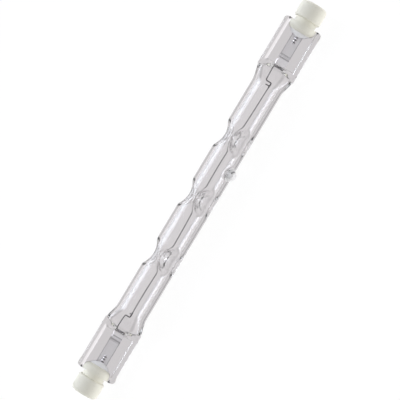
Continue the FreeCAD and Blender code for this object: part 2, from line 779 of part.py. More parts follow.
def cemented(name, glass, lead, ceramic, whole):
    """What the glass, the lead and the ceramic leave of the cement."""
    left = cut(f"{name}_less_glass", whole, glass)
    left = cut(f"{name}_less_lead", left, lead)
    return cut(name, left, ceramic)


cement_whole = cement("cement")
cement_right = cemented("cement_right", seal_right, outer_lead_right, ceramic_base_right, cement_whole)
cement_left = mirrored("cement_left", cement_right)

NODES = {
    "quartz_envelope": quartz_envelope,
    "filament": filament_piece,
    "inner_lead_left": inner_lead_left,
    "inner_lead_right": inner_lead_right,
    "seal_foil_left": seal_foil_left,
    "seal_foil_right": seal_foil_right,
    "outer_lead_left": outer_lead_left,
    "outer_lead_right": outer_lead_right,
    "ceramic_base_left": ceramic_base_left,
    "ceramic_base_right": ceramic_base_right,
    "cement_left": cement_left,
    "cement_right": cement_right,
    "contact_left": contact_left,
    "contact_right": contact_right,
}


def laid_down(label, piece):
    """A finished piece, turned about X with the whole bulb."""
    piece.Label = f"{label}_level"
    laid = doc.addObject("Part::Compound", f"{label}_laid_down")
    laid.Links = [piece]
    laid.Label = label
    laid.Placement.Rotation = FreeCAD.Rotation(X_AXIS, 1)
    return bind(laid, {"Placement.Rotation.Angle": LEAN})


laid_pieces = [laid_down(label, piece) for label, piece in NODES.items()]
doc.recompute()
for item in doc.Objects:
    if {"Invalid", "Error"} & set(item.State):
        raise RuntimeError(f"{item.Name} failed: {item.State}")
os.makedirs("parts", exist_ok=True)
for piece in laid_pieces:
    if piece.Shape.isNull() or not piece.Shape.isValid():
        raise RuntimeError(f"{piece.Label} has no valid shape")
    print(f"{piece.Label}: {len(piece.Shape.Solids)} solid, {piece.Shape.Volume:.3f} cubic mm")
    piece.Shape.exportStep(f"parts/{piece.Label}.step")
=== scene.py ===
"""A double-ended linear halogen bulb, finished round its frame in quartz, tungsten and ceramic."""

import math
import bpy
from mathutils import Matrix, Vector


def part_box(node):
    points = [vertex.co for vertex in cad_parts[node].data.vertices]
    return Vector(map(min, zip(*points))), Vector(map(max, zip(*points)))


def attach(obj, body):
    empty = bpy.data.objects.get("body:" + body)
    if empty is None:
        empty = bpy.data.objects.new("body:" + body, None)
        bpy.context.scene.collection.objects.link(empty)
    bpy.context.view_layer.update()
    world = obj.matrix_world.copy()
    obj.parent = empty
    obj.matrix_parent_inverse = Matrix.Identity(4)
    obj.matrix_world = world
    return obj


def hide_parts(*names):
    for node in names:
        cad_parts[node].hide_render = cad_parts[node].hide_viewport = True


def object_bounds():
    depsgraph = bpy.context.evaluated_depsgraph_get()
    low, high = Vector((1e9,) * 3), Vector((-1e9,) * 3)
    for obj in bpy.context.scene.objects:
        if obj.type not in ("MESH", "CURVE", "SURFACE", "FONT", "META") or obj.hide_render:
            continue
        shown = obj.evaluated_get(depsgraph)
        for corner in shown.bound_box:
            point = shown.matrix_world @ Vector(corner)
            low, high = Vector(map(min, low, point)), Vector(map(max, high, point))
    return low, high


bl_info = {
    "name": "Linear halogen bulb",
    "version": (1, 0, 0),
    "blender": (4, 5, 0),
    "location": "3D View > Sidebar > Bulb",
    "description": "Makes the quartz, the coil and the finishes of a double-ended linear halogen bulb",
    "category": "Add Mesh",
}

import bpy
import numpy as np
from mathutils import Matrix

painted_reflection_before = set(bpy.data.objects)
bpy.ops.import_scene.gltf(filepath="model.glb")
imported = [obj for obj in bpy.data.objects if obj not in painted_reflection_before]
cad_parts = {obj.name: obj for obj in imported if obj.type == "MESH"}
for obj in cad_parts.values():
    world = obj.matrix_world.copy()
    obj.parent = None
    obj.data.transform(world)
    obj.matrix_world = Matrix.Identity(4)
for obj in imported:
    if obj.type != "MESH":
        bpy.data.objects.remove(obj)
CAD_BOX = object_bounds()

MM = 0.001


# Properties

def length(name, description, millimetres):
    """A length in metres, given by its default in millimetres."""
    return bpy.props.FloatProperty(
        name=name, description=description, default=millimetres * MM, precision=5, unit="LENGTH"
    )


def angle(name, description, degrees):
    """An angle in radians, given by its default in degrees."""
    return bpy.props.FloatProperty(
        name=name, description=description, default=math.radians(degrees), subtype="ANGLE"
    )


def count(name, description, number):
    return bpy.props.IntProperty(
        name=name, description=description, default=number, min=1, subtype="UNSIGNED"
    )


def amount(name, description, number):
    return bpy.props.FloatProperty(
        name=name, description=description, default=number, min=0, soft_max=10, precision=3, subtype="FACTOR"
    )


def colour(name, description, shade):
    return bpy.props.FloatVectorProperty(
        name=name, description=description, default=shade, subtype="COLOR", size=3, min=0, max=1
    )


def box_reach(node):
    """The furthest that a node reaches along the bulb."""
    return float(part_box(node)[1][0]) / MM


class BULB_PG_tube(bpy.types.PropertyGroup):
    diameter: length("Diameter", "Outside diameter of the quartz tube", 8.62)
    wall: length("Wall", "Thickness of the quartz", 1.0)
    neck_length: length("Neck length", "From the round tube to where the pressed flat begins", 6.3)
    neck_in_seal: length("Neck in seal", "How far the neck runs on over the pressed flat", 2.2)
    neck_end_width: length("Neck end width", "Width of the neck where it ends", 10.4)
    neck_end_thickness: length("Neck end thickness", "Thickness of the neck where it ends", 2.5)
    neck_shoulder: amount("Neck shoulder", "Share of the neck at which it has its full width", 0.8)
    cavity_in_seal: length("Cavity in seal", "How far the hollow runs into the pressed flat", 1.85)
    cavity_end_width: length("Cavity end width", "Width of the hollow before it closes", 8.3)
    cavity_end_thickness: length("Cavity end thickness", "Height of the hollow before it closes", 1.7)
    cavity_shoulder: amount("Cavity shoulder", "Share of its neck at which the hollow begins to close", 0.78)


class BULB_PG_seal(bpy.types.PropertyGroup):
    length: length("Length", "Length of each pressed flat", 14.7)
    width: length("Width", "Width over both rails", 10.77)
    web_thickness: length("Web thickness", "Thickness between the rails", 2.9)
    web_start: length("Web start", "How far into the pressed flat its web is sunk", 2.1)
    rail_width: length("Rail width", "Width of each rail", 1.3)
    rail_thickness: length("Rail thickness", "Thickness of the rails", 3.8)
    outer_round: length("Outer round", "How far the rails' outer sides are rounded in", 0.7)
    start_round: length("Start round", "Rounding of the flat's corners at the neck", 0.4)
    slope_before: length("Slope before", "How far before the flat its rails begin to rise from the neck", 0.7)
    slope_length: length("Slope length", "Length over which the rails rise out of the neck", 1.9)
    end_round: length("End round", "Rounding of the flat's corners at the ceramic", 0.8)
    root_round: length("Root round", "Width over which the web rises to a rail", 0.3)
    lobe_length: length("Lobe length", "Length of the lobe that is squeezed out at one corner", 1.9)
    lobe_width: length("Lobe width", "Width of the squeezed lobe", 1.7)
    lobe_stands_out: length("Lobe stands out", "How far the lobe stands out past the rail", 0.28)
    lobe_holds_off: angle("Lobe holds off", "How much less the bulb leans because of the lobe", 0.6)


class BULB_PG_dimples(bpy.types.PropertyGroup):
    pitch: length("Station pitch", "Distance between stations of three dimples", 17.9)
    stations: count("Stations", "Number of stations along the tube", 3)
    around: count("Around", "Dimples at each station", 3)
    radius: length("Radius", "Radius of the ball that each dimple follows", 3.2)
    wall: length("Wall", "Thickness of the quartz under a dimple", 1.1)
    coil_clearance: length("Coil clearance", "Room between a dimple and the coil", 0.925)
    lip_round: length("Lip round", "Rounding of a dimple's outer lip", 1.1)
    foot_round: length("Foot round", "Rounding of a dimple's foot inside the tube", 0.4)


class BULB_PG_stub(bpy.types.PropertyGroup):
    place: length("Place", "Place of the exhaust stub along the tube", 9.54)
    turn: angle("Turn", "Turn of the stub from the flat's upright", 54.0)
    root_radius: length("Root radius", "Radius of the stub at the tube", 1.75)
    end_radius: length("End radius", "Radius of the stub at its end", 1.2)
    height: length("Height", "How far the stub stands off the tube", 1.6)
    end_round: length("End round", "Rounding of the stub's end", 0.7)
    root_round: length("Root round", "Rounding between the stub and the tube", 0.5)
    channel_radius: length("Channel radius", "Radius of the sealed channel at the tube", 0.4)
    channel_length: length("Channel length", "How far the channel runs into the stub", 1.3)


class BULB_PG_mesh(bpy.types.PropertyGroup):
    around: count("Around", "Points round each section of the quartz", 152)
    row: length("Row", "Distance between sections of the tube", 0.34)
    fine_row: length("Fine row", "Distance between sections at the stub", 0.12)
    gather: amount("Gather", "How strongly the points round a section gather at the stub", 0.6)


class BULB_PG_coil(bpy.types.PropertyGroup):
    diameter: length("Diameter", "Outside diameter of the coil where it grips its leads", 0.45)
    free_diameter: length("Free diameter", "Outside diameter of the coil between its leads", 0.38)
    wire: length("Wire", "Diameter of the tungsten wire", 0.08)
    pitch: length("Pitch", "Distance from turn to turn", 0.17)
    end_pitch: length("End pitch", "Distance from turn to turn where the coil grips its leads", 0.11)
    end_length: length("End length", "Length of the close turns at each end", 1.3)
    points_a_turn: count("Points a turn", "Points along each turn", 12)
    points_round: count("Points round", "Points round the wire", 6)


class BULB_PG_foil(bpy.types.PropertyGroup):
    width: length("Width", "Width of the seal foil", 3.0)
    crease: length("Crease", "Place along the bulb of the foil's two creases", 42.55)
    crease_shift: length("Crease shift", "How far the middle of both ends' creases lies to the right", 0.5)
    crease_gap: length("Crease gap", "Distance between the two creases", 0.96)
    weld: length("Weld", "Place along the bulb from which the inner lead is flat and bright", 40.1)
    spots_start: length("Spots start", "Place along the bulb where the outer lead's welds begin", 46.8)
    spots_end: length("Spots end", "Place along the bulb where the outer lead's welds end", 49.0)
    spot_pitch: length("Spot pitch", "Distance between the welds", 0.72)


class BULB_PG_shades(bpy.types.PropertyGroup):
    quartz: colour("Quartz", "Tint of the quartz", (0.975, 0.972, 0.975))
    tungsten: colour("Tungsten", "Shade of the coil", (0.16, 0.155, 0.16))
    inner_lead: colour("Inner leads", "Shade of the leads inside the tube", (0.2, 0.195, 0.2))
    outer_lead: colour("Outer leads", "Shade of the leads in the seals", (0.45, 0.44, 0.45))
    foil: colour("Foil", "Shade of the seal foil", (0.95, 0.925, 0.955))
    ceramic: colour("Ceramic", "Shade of the ceramic", (0.87, 0.853, 0.755))
    cement: colour("Cement", "Shade of the cement", (0.96, 0.955, 0.975))
    contact: colour("Contact", "Shade of the plated button", (0.62, 0.6, 0.56))


class BULB_PG_stage(bpy.types.PropertyGroup):
    camera_distance: bpy.props.FloatProperty(
        name="Camera distance", description="From the camera to the bulb", default=0.6, unit="LENGTH"
    )
    view_width: length("View width", "Width of the picture at the bulb", 103.81)
    roll: angle("Roll", "Turn of the bulb in the picture, from level", 59.07)
    shift_right: length("Shift right", "How far right of the picture's middle the bulb lies", -0.15)
    shift_up: length("Shift up", "How far above the picture's middle the bulb lies", 0.106)
    floor_half: bpy.props.FloatProperty(
        name="Floor", description="Half the side of the floor", default=2.0, unit="LENGTH"
    )
    seal_tones_start: length("Seal tones start", "Where the floor's tones begin to change", 37.5)
    seal_tones_end: length("Seal tones end", "Where the floor's tones are those of the seals", 40.0)
    tones_end: length("Tones end", "Where the floor's tones begin to fade", 54.0)
    floor_light: amount("Floor light", "Strength of the light that the floor throws up", 1.9)
    near_floor_light: amount("Near floor light", "Strength of that light close to the bulb", 1.3)
    near_floor: length("Near floor", "How far from the bulb the floor's light is weaker", 12.0)
    backdrop: amount("Backdrop", "Strength of the white that the camera sees", 1.03)
    shadow_share: amount("Shadow share", "Share of the floor's tone that no shadow changes", 0.93)
    light_beside: amount("Light beside", "Strength of the light from beside the bulb", 7.2)
    light_lean: angle("Light lean", "How far the lights beside the bulb lean towards the camera", 10.0)
    light_between: amount("Light between", "Strength of the light from other sides", 0.26)
    light_through: amount("Light through", "Least strength of the light that is seen through quartz", 0.7)
    light_ahead: amount("Light ahead", "Strength of the light from behind the camera, as a share", 2.95)


# Places along the bulb in millimetres, and how far to the side the hot coil has sagged there
COIL_LINE = (
    (-35.2, -0.25), (-27.6, -0.2), (-20.3, -0.36), (-14.0, -0.42), (-7.9, -0.27), (0.0, 0.05), (4.6, 0.18),
    (10.0, 0.27), (15.0, 0.13), (20.0, -0.03), (27.5, -0.3), (35.2, -0.5),
)
COIL_LINE_DEGREE = 7
# Painted shadow and light on the floor, seen through quartz: its tones from the low side of the bulb to the
# raised side, in millimetres
FLOOR_SPAN = (-8.0, 26.0)
FLOOR_UNDER_TUBE = (
    (-6.5, 0.75), (-5.0, 0.62), (-4.0, 0.6), (-3.5, 0.3), (-2.8, 0.3), (-2.3, 0.7), (-1.5, 0.72),
    (-1.0, 0.74), (-0.45, 0.76), (-0.05, 0.55), (0.5, 0.55), (0.9, 0.7), (6.0, 0.7), (6.6, 0.7), (7.1, 0.52),
    (10.0, 0.46), (10.8, 0.5), (17.5, 0.55), (21.0, 0.85), (26.0, 0.85),
)
FLOOR_UNDER_SEAL = (
    (-6.0, 0.95), (-3.8, 0.95), (-2.9, 0.62), (-2.2, 0.62), (7.6, 0.62), (8.4, 0.66), (9.5, 1.0),
    (12.0, 1.0), (16.0, 0.7),
)
FLOOR_TINT = (1, 0.965, 0.98)
FLOOR_SHADE = (0.86, 0.86, 0.86, 1)
WHITE = (1, 1, 1)
# Cosines of the angle from a light's middle, where it begins and where it is full
BESIDE_COSINES = (0.92, 0.99)
AHEAD_COSINES = (0.68, 0.92)
# The same for the cool tint of the lights beside the bulb
COOL_COSINES = (0.84, 0.96)
COOL = (0.94, 0.98, 1.06)
# Sections along each neck, its corner, each length of the flat, the lobe, the hollow's neck and its end
NECK_ROWS, CORNER_ROWS, FLAT_ROWS, LOBE_ROWS, HOLLOW_ROWS, CLOSING_ROWS = 18, 10, 16, 22, 14, 12
HALVINGS = 40

SETTINGS = {
    "bulb_tube": BULB_PG_tube,
    "bulb_seal": BULB_PG_seal,
    "bulb_dimples": BULB_PG_dimples,
    "bulb_stub": BULB_PG_stub,
    "bulb_mesh": BULB_PG_mesh,
    "bulb_coil": BULB_PG_coil,
    "bulb_foil": BULB_PG_foil,
    "bulb_shades": BULB_PG_shades,
    "bulb_stage": BULB_PG_stage,
}


# Shapes

def eased(step):
    """From 0 to 1 and level at both ends: 3 times the square less twice the cube."""
    step = np.clip(step, 0, 1)
    return step * step * (3 - 2 * step)


def quarter_round(distance, radius):
    """Height of a quarter circle at a distance from its foot, as a share of its radius."""
    left = 1 - np.clip(distance / radius, 0, 1)
    return np.sqrt(1 - left * left)


def rounded_greater(first, second, radius):
    """The greater of two distances, with an arc of the radius where both surfaces are near."""
    arc = np.hypot(np.maximum(radius + first, 0), np.maximum(radius + second, 0))
    return np.minimum(-radius, np.maximum(first, second)) + arc


def rounded_lesser(first, second, radius):
    """The lesser of two distances, with an arc of the radius where both surfaces are near."""
    return -rounded_greater(-first, -second, radius)


def blended_greater(first, second, width):
    """The greater of two heights, raised by a parabola where they are within a width of each other."""
    near = np.maximum(width - np.abs(first - second), 0)
    return np.maximum(first, second) + near * near / (4 * width)


def lean(tube, seal):
    """The turn about X that brings a rail's round edge as low as the tube, less what the lobe holds off."""
    out = seal.width / 2 - seal.outer_round
    up = seal.rail_thickness / 2 - seal.outer_round
    drop = tube.diameter / 2 - seal.outer_round
    return math.asin(drop / math.hypot(out, up)) - math.atan2(up, out) - seal.lobe_holds_off


def leaned(points, turn):
    """Points turned about X: Y becomes Y cos - Z sin, and Z becomes Y sin + Z cos."""
    across, up = points[..., 1], points[..., 2]
    turned = points.copy()
    turned[..., 1] = across * math.cos(turn) - up * math.sin(turn)
    turned[..., 2] = across * math.sin(turn) + up * math.cos(turn)
    return turned


def ring_faces(rows, around, outwards=True):
    """Four-sided faces between neighbouring rings, each ring closed on itself."""
    row, column = np.meshgrid(np.arange(rows - 1), np.arange(around), indexing="ij")
    beside = (column + 1) % around
    ring, above = row * around, (row + 1) * around
    corners = [ring + column, ring + beside, above + beside, above + column]
    if not outwards:
        corners.reverse()
    return np.stack(corners, axis=-1).reshape(-1, 4)


def tube_caps(rows, around):
    """The two end faces of a tube of rings, each one ring, facing outwards."""
    ring = np.arange(around)
    return [ring[::-1], (rows - 1) * around + ring]


def new_piece(name, parts, finish):
    """One object from parts, each its points, its four-sided faces and its end faces, with smooth shading."""
    points, corners, sizes, base = [], [], [], 0
    for part_points, quads, caps in parts:
        flat = part_points.reshape(-1, 3)
        points.append(flat)
        corners += [quads.ravel() + base, *(cap + base for cap in caps)]
        sizes += [np.full(len(quads), 4), np.array([len(cap) for cap in caps], dtype=int)]
        base += len(flat)
    points, corners, sizes = np.concatenate(points), np.concatenate(corners), np.concatenate(sizes)
    mesh = bpy.data.meshes.new(name)
    mesh.vertices.add(len(points))
    mesh.vertices.foreach_set("co", points.ravel())
    mesh.loops.add(len(corners))
    mesh.loops.foreach_set("vertex_index", corners)
    mesh.polygons.add(len(sizes))
    mesh.polygons.foreach_set("loop_start", np.cumsum(sizes) - sizes)
    mesh.polygons.foreach_set("use_smooth", np.ones(len(sizes), dtype=bool))
    mesh.materials.append(finish)
    mesh.update(calc_edges=True)
    mesh.validate()
    piece = bpy.data.objects.new(name, mesh)
    bpy.context.scene.collection.objects.link(piece)
    return piece


def merge_doubles(piece, distance):
    """Closes seams and poles by merging points that lie together."""
    weld = piece.modifiers.new("Seams", "WELD")
    weld.merge_threshold = distance
    with bpy.context.temp_override(object=piece, active_object=piece):
        bpy.ops.object.modifier_apply(modifier=weld.name)


def gathered_turns(mesh, stub_turn):
    """Turns round a section that gather at the stub: u less a share of sin u, from the stub's turn."""
    step = np.linspace(-np.pi, np.pi, mesh.around, endpoint=False)
    return stub_turn + step - mesh.gather * np.sin(step)


def wall_surface(settings, turns, end, tube_radius, ball_radius, edge_round, taper, stub_round):
    """
    The wall of the round tube on a grid of places and turns, its distance from the axis found by halving.

    The surface is where a level is nought. The level is the rounded greater of (distance from the axis less
    the tube's radius) and (the ball's radius less the distance from the nearest dimple's ball), and then the
    rounded lesser of that and the level of the stub's cone.
    """
    dimples, stub = settings.bulb_dimples, settings.bulb_stub
    place, turn = np.meshgrid(tube_rows(settings.bulb_mesh, stub, end), turns, indexing="ij")
    reach = settings.bulb_coil.diameter / 2 + dimples.coil_clearance + dimples.wall + dimples.radius
    root_radius, end_radius, top = taper
    last = (dimples.stations - 1) / 2
    station = np.clip(np.round(place / dimples.pitch), -last, last) * dimples.pitch
    share = 2 * np.pi / dimples.around
    beside = (turn + share / 2) % share - share / 2
    slope = (root_radius - end_radius) / (top - tube_radius)
    off_stub = turn - (np.pi / 2 + stub.turn)

    def level(radius):
        to_ball = np.sqrt(
            (place - station) ** 2 + radius ** 2 + reach ** 2 - 2 * radius * reach * np.cos(beside)
        )
        tube = rounded_greater(radius - tube_radius, ball_radius - to_ball, edge_round)
        along = radius * np.cos(off_stub)
        aside = np.hypot(place - stub.place, radius * np.sin(off_stub))
        side = (aside - root_radius + slope * (along - tube_radius)) / math.hypot(1, slope)
        cone = rounded_greater(side, along - top, end_radius / 2)
        cone = np.where(along > 0, cone, tube_radius)
        return rounded_lesser(tube, cone, stub_round)

    low = np.zeros_like(place)
    beyond = 1.1 * top
    high = np.full_like(place, beyond)
    for _ in range(HALVINGS):
        middle = (low + high) / 2
        inside = level(middle) < 0
        low = np.where(inside, middle, low)
        high = np.where(inside, high, middle)
    radius = (low + high) / 2
    return np.stack([place, radius * np.cos(turn), radius * np.sin(turn)], axis=-1)


def tube_rows(mesh, stub, end):
    """Places of the sections along the round tube, closer together at the stub."""
    plain = np.linspace(-end, end, int(2 * end / mesh.row))
    reach = stub.root_radius + stub.root_round
    fine = np.arange(stub.place - reach, stub.place + reach, mesh.fine_row)
    outside = plain[(plain < fine[0] - mesh.fine_row) | (plain > fine[-1] + mesh.fine_row)]
    return np.sort(np.concatenate([outside, fine]))


def neck_section(away, tube, start):
    """Half width and half height of the neck: each eases from the tube's radius to its size at the end."""
    step = (away - start) / tube.neck_length
    radius = tube.diameter / 2
    across = radius + (tube.neck_end_width / 2 - radius) * eased(step / tube.neck_shoulder)
    up = radius + (tube.neck_end_thickness / 2 - radius) * eased(step)
    return across, up


def seal_half_width(away, seal, start, end):
    """Half width of the pressed flat, less the rounding of its corners, and nought before it starts."""
    half = seal.width / 2
    half = half - seal.start_round * (1 - quarter_round(away - start, seal.start_round))
    half = half - seal.end_round * (1 - quarter_round(end - away, seal.end_round))
    return np.where(away < start, 0, half)


def seal_half_height(away, across, half_width, seal, start):
    """
    Half height of the pressed flat.

    It is as high as the rails, sunk to the web between them after the web's start, and falls to nought at
    the outer sides as a superellipse of the third power.
    """
    inner = seal.width / 2 - seal.rail_width
    between = 1 - eased((across - inner + seal.root_round / 2) / seal.root_round)
    past = eased((away - start - seal.web_start + seal.root_round) / (2 * seal.root_round))
    level = seal.rail_thickness / 2 - (seal.rail_thickness - seal.web_thickness) / 2 * between * past
    side = np.clip((across - half_width + seal.outer_round) / seal.outer_round, 0, 1)
    return level * np.cbrt(1 - side ** 3) * eased((away - start + seal.slope_before) / seal.slope_length)


def lobe_step(place, seal, end):
    """Place from the lobe's middle, as a share of half its length, and how far to the side its middle is."""
    half = seal.lobe_length / 2
    return (-place - end + half) / half, seal.width / 2 + seal.lobe_stands_out - seal.lobe_width / 2


def lobe_half_width(place, seal, end):
    """How far the squeezed lobe reaches at each place: half an ellipse."""
    step, middle = lobe_step(place, seal, end)
    bulge = seal.lobe_width / 2 * np.sqrt(np.clip(1 - step * step, 0, 1))
    return np.where(np.abs(step) < 1, middle + bulge, 0)


def lobe_half_height(place, across, seal, end):
    """Half height of the lobe's ellipsoid."""
    step, middle = lobe_step(place, seal, end)
    aside = (-across - middle) / (seal.lobe_width / 2)
    return seal.rail_thickness / 2 * np.sqrt(np.clip(1 - step * step - aside * aside, 0, 1))


def end_rows(seal, start, seal_start, seal_end):
    """Places of the sections of one neck and its pressed flat, close together where they change."""
    just_before = seal_start - 0.02 * MM
    sunk = seal_start + seal.web_start * 1.3
    lobe = seal.lobe_length * 1.05
    return np.concatenate([
        np.linspace(start, just_before, NECK_ROWS),
        seal_start + seal.start_round * (1 - np.cos(np.linspace(0, np.pi / 2, CORNER_ROWS))),
        np.linspace(seal_start + seal.start_round, sunk, FLAT_ROWS)[1:],
        np.linspace(sunk, seal_end - lobe, FLAT_ROWS)[1:],
        seal_end - lobe / 2 * (1 + np.cos(np.linspace(0, np.pi, LOBE_ROWS)))[1:],
    ])


def quartz_places(settings):
    """Where each neck starts, and where its pressed flat starts and ends."""
    tube, seal = settings.bulb_tube, settings.bulb_seal
    seal_end = box_reach("quartz_envelope") * MM
    seal_start = seal_end - seal.length
    return seal_start + tube.neck_in_seal - tube.neck_length, seal_start, seal_end


def quartz_outside(settings, turns):
    """
    Outer surface of the quartz on a grid of places and turns.

    Round the tube it is the wall's radius in each direction. Past the tube, Y is the half width times the
    cosine of the turn, and Z is the greater of the heights of the neck, the pressed flat and the lobe.
    """
    tube, seal, dimples, stub = (
        settings.bulb_tube, settings.bulb_seal, settings.bulb_dimples, settings.bulb_stub
    )
    start, seal_start, seal_end = quartz_places(settings)
    radius = tube.diameter / 2
    taper = (stub.root_radius, stub.end_radius, radius + stub.height)
    middle = wall_surface(
        settings, turns, start, radius, dimples.radius, dimples.lip_round, taper, stub.root_round
    )

    def end(side):
        rows = end_rows(seal, start, seal_start, seal_end)[1:]
        away, turn = np.meshgrid(rows, turns, indexing="ij")
        neck_across, neck_up = neck_section(away, tube, start)
        flat_across = seal_half_width(away, seal, seal_start, seal_end)
        half = np.maximum(neck_across, flat_across)
        half = np.where(away > seal_start + tube.neck_in_seal, flat_across, half)
        lobed = np.maximum(half, lobe_half_width(side * away, seal, seal_end))
        across = np.where(np.cos(turn) > 0, half, lobed) * np.cos(turn)
        neck = neck_up * np.sqrt(np.clip(1 - (across / half) ** 2, 0, 1))
        flat = seal_half_height(away, np.abs(across), half, seal, seal_start)
        up = blended_greater(neck, flat, seal.root_round)
        up = np.where(away < seal_start - seal.slope_before, neck, up)
        up = np.maximum(up, lobe_half_height(side * away, across, seal, seal_end))
        return np.stack([side * away, across, up * np.sign(np.sin(turn))], axis=-1)

    return np.concatenate([end(-1)[::-1], middle, end(1)])


def quartz_inside(settings, turns):
    """
    The hollow in the quartz on a grid of places and turns.

    Round the tube it is the bore's radius, less the feet of the dimples. Past the tube each section is an
    ellipse that widens and flattens, and then closes as a quarter circle.
    """
    tube, dimples, stub = settings.bulb_tube, settings.bulb_dimples, settings.bulb_stub
    start, seal_start, _ = quartz_places(settings)
    cavity_end = seal_start + tube.cavity_in_seal
    bore = tube.diameter / 2 - tube.wall
    taper = (stub.channel_radius, stub.channel_radius / 2, bore + stub.channel_length)
    middle = wall_surface(
        settings, turns, start, bore, dimples.radius + dimples.wall, dimples.foot_round, taper,
        stub.channel_radius / 2,
    )

    def end(side):
        shoulder = tube.cavity_shoulder
        widening = np.linspace(0, shoulder, HOLLOW_ROWS)[1:]
        closing = np.sin(np.linspace(0, np.pi / 2, CLOSING_ROWS)[1:])
        steps = np.concatenate([widening, shoulder + (1 - shoulder) * closing])
        step, turn = np.meshgrid(steps, turns, indexing="ij")
        spread = eased(step / shoulder)
        past = np.clip((step - shoulder) / (1 - shoulder), 0, 1)
        left = np.sqrt(np.clip(1 - past * past, 0, 1))
        across = (bore + (tube.cavity_end_width / 2 - bore) * spread) * left * np.cos(turn)
        up = (bore + (tube.cavity_end_thickness / 2 - bore) * spread) * left * np.sin(turn)
        return np.stack([side * (start + (cavity_end - start) * step), across, up], axis=-1)

    return np.concatenate([end(-1)[::-1], middle, end(1)])


def coil_wire(settings, end):
    """
    The wound wire on a grid of points along it and round it.

    Its centre line turns round a line that sags as a polynomial through a few places, its place grows by the
    pitch each turn, and the wire's section is a circle across that helix.
    """
    coil = settings.bulb_coil
    close = round(coil.end_length / coil.end_pitch)
    open_turns = round(2 * (end - coil.end_length) / coil.pitch)
    total = 2 * close + open_turns
    angle = np.linspace(0, 2 * np.pi * total, total * coil.points_a_turn + 1)
    inner = end - coil.end_length
    turns_at = 2 * np.pi * np.array([0, close, close + open_turns, total])
    place = np.interp(angle, turns_at, [-end, -inner, inner, end])
    sag = np.polyval(np.polyfit(*np.array(COIL_LINE).T, COIL_LINE_DEGREE), place / MM) * MM
    gripping = eased((np.abs(place) - inner) / coil.diameter)
    wound = (coil.free_diameter + (coil.diameter - coil.free_diameter) * gripping - coil.wire) / 2
    outwards = np.stack([np.zeros_like(angle), np.cos(angle), np.sin(angle)], axis=-1)
    centre = wound[:, None] * outwards
    centre[:, 0] = place
    centre[:, 1] += sag
    along = np.gradient(centre, axis=0)
    along /= np.linalg.norm(along, axis=1, keepdims=True)
    aside = np.cross(along, outwards)
    round_wire = np.linspace(0, 2 * np.pi, coil.points_round, endpoint=False)
    ring = outwards[:, None] * np.cos(round_wire)[:, None] + aside[:, None] * np.sin(round_wire)[:, None]
    return centre[:, None] + coil.wire / 2 * ring


# Finishes

def node_adder(tree):
    """A function that adds a node to a tree, sets its values and sets or links its inputs."""
    def add(kind, inputs=None, **values):
        node = tree.nodes.new(kind)
        for key, value in values.items():
            setattr(node, key, value)
        for socket, value in (inputs or {}).items():
            if isinstance(value, bpy.types.NodeSocket):
                tree.links.new(value, node.inputs[socket])
            else:
                node.inputs[socket].default_value = value
        return node

    return add


def new_finish(name):
    """A material with its node tree, its shader and a function that adds a node and sets its inputs."""
    finish = bpy.data.materials.new(name)
    finish.use_nodes = True
    tree = finish.node_tree
    return finish, tree, tree.nodes["Principled BSDF"], node_adder(tree)


def darker(shade, share):
    """A shade with its three parts lowered to a share."""
    return tuple(part * share for part in shade)


def shade_between(add, factor, first, second):
    """A colour between two, each a shade or a node's output."""
    ends = [shade if isinstance(shade, bpy.types.NodeSocket) else (*shade, 1) for shade in (first, second)]
    return add("ShaderNodeMix", {0: factor, 6: ends[0], 7: ends[1]}, data_type="RGBA").outputs[2]


def combined(add, operation, *values):
    """One value from one or two."""
    return add("ShaderNodeMath", dict(enumerate(values)), operation=operation).outputs[0]


def measured(add, operation, first, second):
    """One value from two vectors, such as their distance."""
    return add("ShaderNodeVectorMath", {0: first, 1: second}, operation=operation).outputs["Value"]


def ranged(add, value, start, end, low=0.0, high=1.0):
    """A value that is low up to the start, high from the end on, and between them in the middle."""
    inputs = {"Value": value, "From Min": start, "From Max": end, "To Min": low, "To Max": high}
    return add("ShaderNodeMapRange", inputs).outputs[0]


def rough_between(add, value, least, most):
    """A roughness between two, by a value from 0 to 1."""
    return ranged(add, value, 0, 1, least, most)


def own_place(add):
    """Place on the piece's own coordinates: the whole, and its parts along the bulb and across it."""
    place = add("ShaderNodeTexCoord").outputs["Object"]
    parts = add("ShaderNodeSeparateXYZ", {"Vector": place})
    return place, parts.outputs["X"], parts.outputs["Y"]


def noise(add, scale, detail, stretch=(1, 1, 1)):
    """Noise on the piece's own coordinates, drawn out by a different amount along each axis."""
    place = add("ShaderNodeTexCoord").outputs["Object"]
    drawn = add("ShaderNodeMapping", {"Vector": place, "Scale": stretch}).outputs["Vector"]
    return add("ShaderNodeTexNoise", {"Vector": drawn, "Scale": scale, "Detail": detail}).outputs["Fac"]


def raised(add, height, strength, distance, below=None):
    """A normal raised by a height, on top of the normal below."""
    inputs = {"Height": height, "Strength": strength, "Distance": distance}
    if below is not None:
        inputs["Normal"] = below
    return add("ShaderNodeBump", inputs).outputs["Normal"]


def mixed(add, share, first, second):
    """A mix of two shaders."""
    return add("ShaderNodeMixShader", {0: share, 1: first.outputs[0], 2: second.outputs[0]})


def dress(shader, tone, rough, normal):
    """Links a shader's colour, roughness and normal."""
    for name, socket in (("Base Color", tone), ("Roughness", rough), ("Normal", normal)):
        shader.id_data.links.new(socket, shader.inputs[name])


def show(tree, shader):
    """Makes a shader the surface of its material."""
    tree.links.new(shader.outputs[0], tree.nodes["Material Output"].inputs["Surface"])


